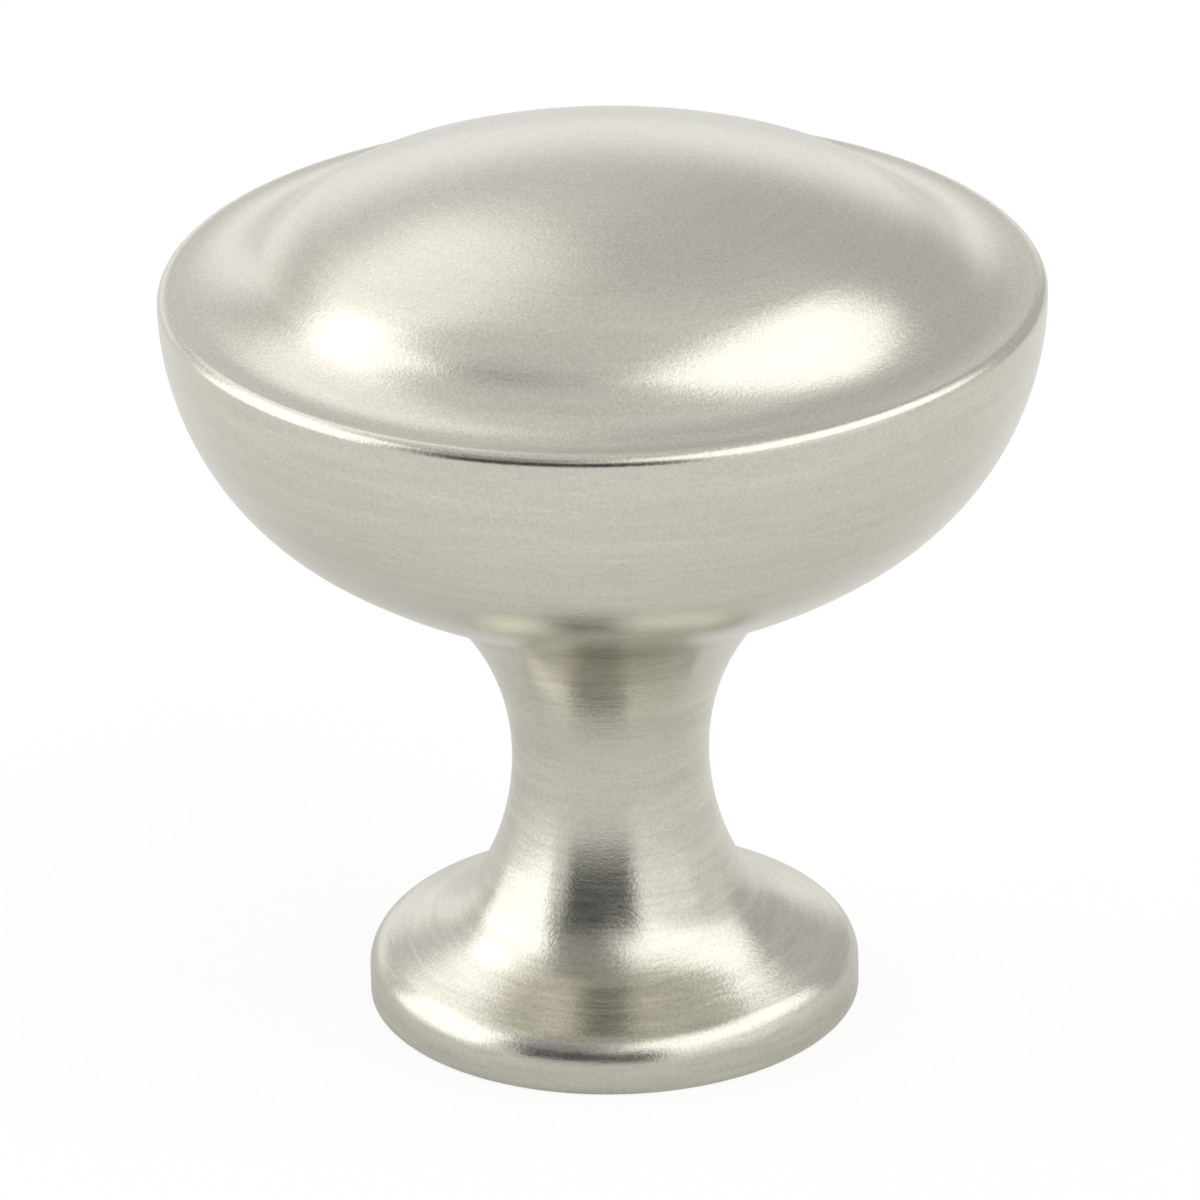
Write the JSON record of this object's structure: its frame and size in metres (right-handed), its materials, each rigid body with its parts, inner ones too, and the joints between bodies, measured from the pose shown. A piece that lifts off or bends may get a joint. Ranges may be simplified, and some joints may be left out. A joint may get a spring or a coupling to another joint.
{
  "type": "cabinet knob",
  "caption": "Mushroom-shaped cabinet knob with a domed crown, thin raised lip, waisted stem and flared round foot, tapped from below for its screw.",
  "frame": {"origin": "centre of the foot's flat seating ring, on the plane that bears on the door or drawer front", "axes": "+Z along the knob's axis from the foot to the crown; the form is turned, so X and Y are free"},
  "size_m": [0.03, 0.03, 0.0308],
  "materials": {
    "satin_nickel": "satin brushed nickel plate on a zinc casting"
  },
  "bodies": {
    "root": {"knob": "satin_nickel"}
  },
  "joints": []
}
